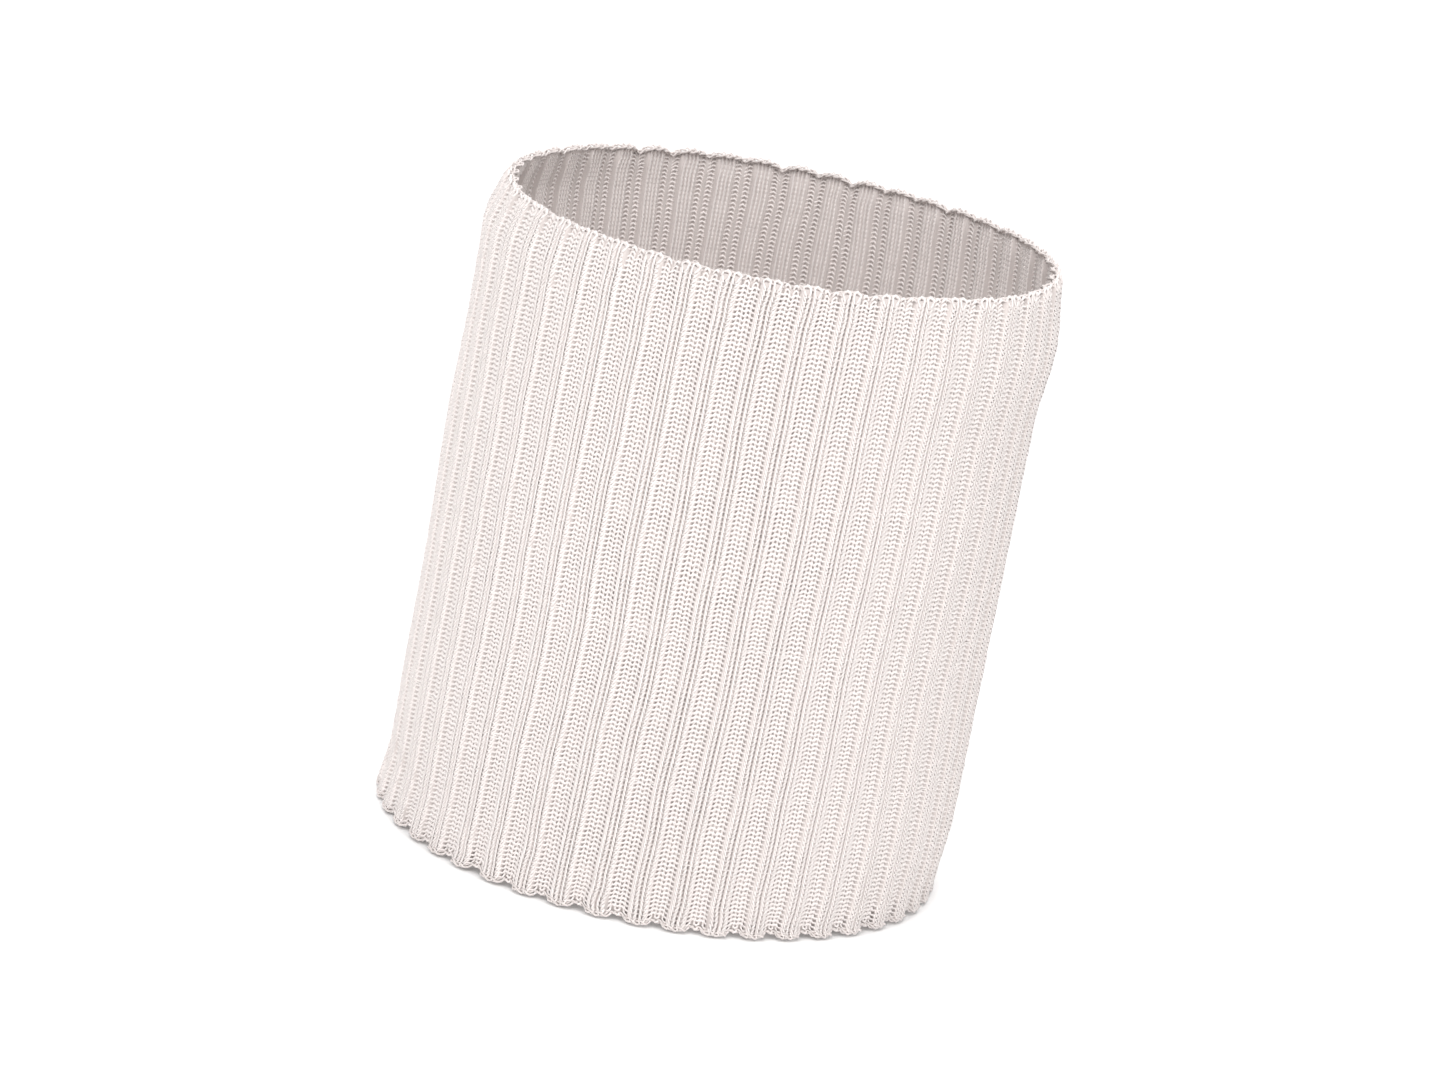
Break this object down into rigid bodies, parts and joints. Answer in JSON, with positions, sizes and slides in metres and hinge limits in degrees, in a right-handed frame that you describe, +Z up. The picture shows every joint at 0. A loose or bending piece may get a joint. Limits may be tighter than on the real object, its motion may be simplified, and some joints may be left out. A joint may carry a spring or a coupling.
{
  "type": "sweat wristband",
  "caption": "Rib-knit tube open at both ends, worn round the wrist to soak up sweat in racket sports; it stretches open to pass over the hand",
  "frame": {"origin": "centre of the band's box at its bottom rim, on the surface that the band stands on", "axes": "+Z up along the tube's axis, -Y towards the front of the band, +X to the right seen from the front"},
  "size_m": [0.0674, 0.0664, 0.075],
  "materials": {
    "rib_knit": "fine 2x2 rib knit in off-white spun yarn, matte",
    "edge_chain": "bound-off chain of the same off-white yarn, matte",
    "elastic_thread": "elastic thread covered in off-white yarn, satin",
    "yarn_end": "loose end of the off-white yarn, matte"
  },
  "bodies": {
    "back_half": {"rib_knit_back": "rib_knit", "cast_on_edge_back": "edge_chain", "bound_off_edge_back": "edge_chain", "elastic_thread_01": "elastic_thread", "elastic_thread_02": "elastic_thread", "elastic_thread_03": "elastic_thread", "elastic_thread_04": "elastic_thread", "elastic_thread_05": "elastic_thread", "elastic_thread_06": "elastic_thread", "elastic_thread_07": "elastic_thread", "elastic_thread_08": "elastic_thread", "yarn_end_bottom": "yarn_end"},
    "front_half": {"rib_knit_front": "rib_knit", "cast_on_edge_front": "edge_chain", "bound_off_edge_front": "edge_chain", "yarn_end_top": "yarn_end"}
  },
  "joints": [
    {"name": "stretch", "type": "slide", "parent": "back_half", "child": "front_half", "axis": [0, -1, 0], "range_m": [0, 0.02], "stiffness_N_per_m": 150, "deforming": ["elastic_thread_01", "elastic_thread_02", "elastic_thread_03", "elastic_thread_04", "elastic_thread_05", "elastic_thread_06", "elastic_thread_07", "elastic_thread_08"]}
  ]
}
